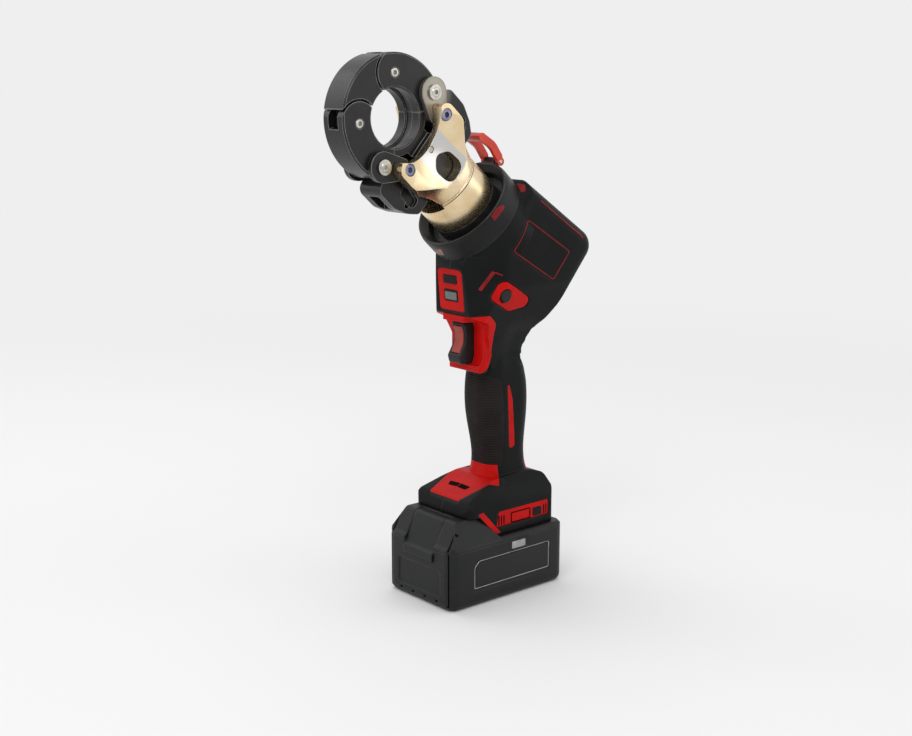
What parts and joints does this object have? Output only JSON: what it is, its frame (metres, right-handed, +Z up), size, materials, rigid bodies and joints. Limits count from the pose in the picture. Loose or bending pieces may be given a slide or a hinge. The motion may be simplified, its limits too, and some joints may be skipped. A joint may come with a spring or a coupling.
{
  "type": "battery pipe press tool",
  "caption": "Battery hydraulic press tool: linked press ring on a swivelling yoke with roller-driven arms, pistol grip with trigger, and slide-on battery pack.",
  "frame": {"origin": "centre of the battery's flat bottom face, which the tool stands on", "axes": "+X forward, towards the press ring; +Y to the tool's left side; +Z up"},
  "size_m": [0.2218, 0.079, 0.411],
  "materials": {
    "ring_steel": "black satin coating",
    "arm_steel": "black satin coating",
    "pin_steel": "ground steel",
    "roller_steel": "ground steel",
    "yoke_steel": "champagne satin plating",
    "cylinder_steel": "black oxide",
    "piston_steel": "ground steel",
    "spring_steel": "spring steel",
    "seal": "matte",
    "collar_plastic": "fine texture",
    "bail": "red orange gloss",
    "pump_metal": "machined",
    "gear_steel": "machined",
    "motor_steel": "plated",
    "shell_plastic": "fine texture",
    "panel_plastic": "satin",
    "red_plastic": "satin red",
    "insert_plastic": "dull red",
    "grip_rubber": "ribbed",
    "lens": "smoked",
    "trigger_plastic": "satin",
    "board": "solder mask",
    "terminals": "moulded",
    "battery_plastic": "fine texture",
    "cells": "sleeved cells",
    "gauge": "light grey"
  },
  "bodies": {
    "housing": {"side_panels": "panel_plastic", "lock_bezels": "red_plastic", "grip_stripes": "red_plastic", "foot_inserts": "red_plastic", "foot_strips": "red_plastic", "front_panel": "red_plastic", "foot_trims": "red_plastic", "grip_rubber": "grip_rubber", "trigger_bezel": "red_plastic", "housing_left": "shell_plastic", "housing_right": "shell_plastic", "panel_lenses": "lens", "trigger_switch": "trigger_plastic", "trigger_spring": "spring_steel", "display_board": "board", "terminal_block": "terminals", "housing_screws": "pin_steel", "front_collar": "collar_plastic", "thrust_ring": "cylinder_steel", "hang_pin": "pin_steel", "pump_block": "pump_metal", "ring_gear": "pump_metal", "motor_stator": "motor_steel"},
    "head": {"yoke": "yoke_steel", "rear_die": "ring_steel", "die_pin": "pin_steel", "fulcrum_pins": "pin_steel", "cylinder": "cylinder_steel", "return_spring": "spring_steel"},
    "piston_carriage": {"piston": "piston_steel", "piston_seal": "seal", "roller_pins": "pin_steel"},
    "upper_roller": {"roller_upper": "roller_steel"},
    "lower_roller": {"roller_lower": "roller_steel"},
    "upper_arm": {"arm_upper": "arm_steel", "jaw_pin_upper": "pin_steel"},
    "lower_arm": {"arm_lower": "arm_steel", "jaw_pin_lower": "pin_steel"},
    "upper_jaw": {"jaw_upper": "ring_steel", "hinge_pin_upper": "pin_steel"},
    "lower_jaw": {"jaw_lower": "ring_steel", "hinge_pin_lower": "pin_steel"},
    "tip": {"tip_segment": "ring_steel"},
    "bail": {"hang_bail": "bail"},
    "trigger": {"trigger": "trigger_plastic", "trigger_insert": "insert_plastic"},
    "lock_button": {"lock_button": "trigger_plastic"},
    "rotor": {"motor_rotor": "motor_steel"},
    "carrier": {"planet_carrier": "gear_steel"},
    "planet_1": {"planet_gear_1": "gear_steel"},
    "planet_2": {"planet_gear_2": "gear_steel"},
    "planet_3": {"planet_gear_3": "gear_steel"},
    "battery": {"battery_case": "battery_plastic", "battery_front_cap": "battery_plastic", "battery_lid": "battery_plastic", "battery_latch_spring": "spring_steel", "battery_cells": "cells", "battery_board": "board", "battery_gauge": "gauge"},
    "latch": {"battery_latch": "battery_plastic"}
  },
  "joints": [
    {"name": "head_swivel", "type": "hinge", "parent": "housing", "child": "head", "pos_m": [0.087, 0, 0.366], "axis": [0.7431, 0, 0.6691], "range_deg": [-175, 175]},
    {"name": "press_stroke", "type": "slide", "parent": "head", "child": "piston_carriage", "axis": [-0.7431, 0, -0.6691], "range_m": [0, 0.01], "deforming": ["return_spring"]},
    {"name": "upper_roller_spin", "type": "hinge", "parent": "piston_carriage", "child": "upper_roller", "pos_m": [0.0439, 0, 0.34064], "axis": [0, 1, 0], "range_deg": [0, 60]},
    {"name": "lower_roller_spin", "type": "hinge", "parent": "piston_carriage", "child": "lower_roller", "pos_m": [0.05728, 0, 0.32578], "axis": [0, -1, 0], "range_deg": [0, 60]},
    {"name": "upper_arm_pivot", "type": "hinge", "parent": "head", "child": "upper_arm", "pos_m": [0.05165, 0, 0.36785], "axis": [0, -1, 0], "range_deg": [0, 5]},
    {"name": "lower_arm_pivot", "type": "hinge", "parent": "head", "child": "lower_arm", "pos_m": [0.08515, 0, 0.33065], "axis": [0, 1, 0], "range_deg": [0, 5]},
    {"name": "upper_jaw_pivot", "type": "hinge", "parent": "upper_arm", "child": "upper_jaw", "pos_m": [0.0553, 0, 0.38328], "axis": [0, -1, 0], "range_deg": [0, 4]},
    {"name": "lower_jaw_pivot", "type": "hinge", "parent": "lower_arm", "child": "lower_jaw", "pos_m": [0.10087, 0, 0.33267], "axis": [0, 1, 0], "range_deg": [0, 4]},
    {"name": "tip_swing", "type": "hinge", "parent": "upper_jaw", "child": "tip", "pos_m": [0.087, 0, 0.397], "axis": [0, -1, 0], "range_deg": [0, 45]},
    {"name": "bail_swing", "type": "hinge", "parent": "housing", "child": "bail", "pos_m": [-0.01464, 0, 0.33167], "axis": [0, -1, 0], "range_deg": [0, 90]},
    {"name": "trigger_pull", "type": "slide", "parent": "housing", "child": "trigger", "axis": [-1, 0, 0], "range_m": [0, 0.006], "stiffness_N_per_m": 300, "springref_m": -0.01, "deforming": ["trigger_spring"]},
    {"name": "lock_button_slide", "type": "slide", "parent": "housing", "child": "lock_button", "axis": [0, 1, 0], "range_m": [-0.002, 0.002]},
    {"name": "motor_spin", "type": "hinge", "parent": "housing", "child": "rotor", "pos_m": [0.087, 0, 0.366], "axis": [0.7431, 0, 0.6691], "continuous": true},
    {"name": "carrier_spin", "type": "hinge", "parent": "housing", "child": "carrier", "pos_m": [0.087, 0, 0.366], "axis": [0.7431, 0, 0.6691], "continuous": true},
    {"name": "planet_1_spin", "type": "hinge", "parent": "carrier", "child": "planet_1", "pos_m": [-0.04191, 0, 0.26258], "axis": [0.7431, 0, 0.6691], "continuous": true},
    {"name": "planet_2_spin", "type": "hinge", "parent": "carrier", "child": "planet_2", "pos_m": [-0.03247, -0.00814, 0.2521], "axis": [0.7431, 0, 0.6691], "continuous": true},
    {"name": "planet_3_spin", "type": "hinge", "parent": "carrier", "child": "planet_3", "pos_m": [-0.03247, 0.00814, 0.2521], "axis": [0.7431, 0, 0.6691], "continuous": true},
    {"name": "battery_slide", "type": "slide", "parent": "housing", "child": "battery", "axis": [1, 0, 0], "range_m": [0, 0.08]},
    {"name": "latch_press", "type": "slide", "parent": "battery", "child": "latch", "axis": [0, 0, -1], "range_m": [0, 0.004], "stiffness_N_per_m": 500, "springref_m": -0.006, "deforming": ["battery_latch_spring"]}
  ],
  "couplings": [
    {"joint": "upper_arm_pivot", "follows": "press_stroke", "rad_per_m": 8.7179},
    {"joint": "lower_arm_pivot", "follows": "press_stroke", "rad_per_m": 8.7179},
    {"joint": "upper_jaw_pivot", "follows": "press_stroke", "rad_per_m": 6.9743},
    {"joint": "lower_jaw_pivot", "follows": "press_stroke", "rad_per_m": 6.9743},
    {"joint": "upper_roller_spin", "follows": "press_stroke", "rad_per_m": 102.04},
    {"joint": "lower_roller_spin", "follows": "press_stroke", "rad_per_m": 102.04},
    {"joint": "carrier_spin", "follows": "motor_spin", "ratio": 0.24194},
    {"joint": "planet_1_spin", "follows": "motor_spin", "ratio": -0.71068},
    {"joint": "planet_2_spin", "follows": "motor_spin", "ratio": -0.71068},
    {"joint": "planet_3_spin", "follows": "motor_spin", "ratio": -0.71068}
  ]
}
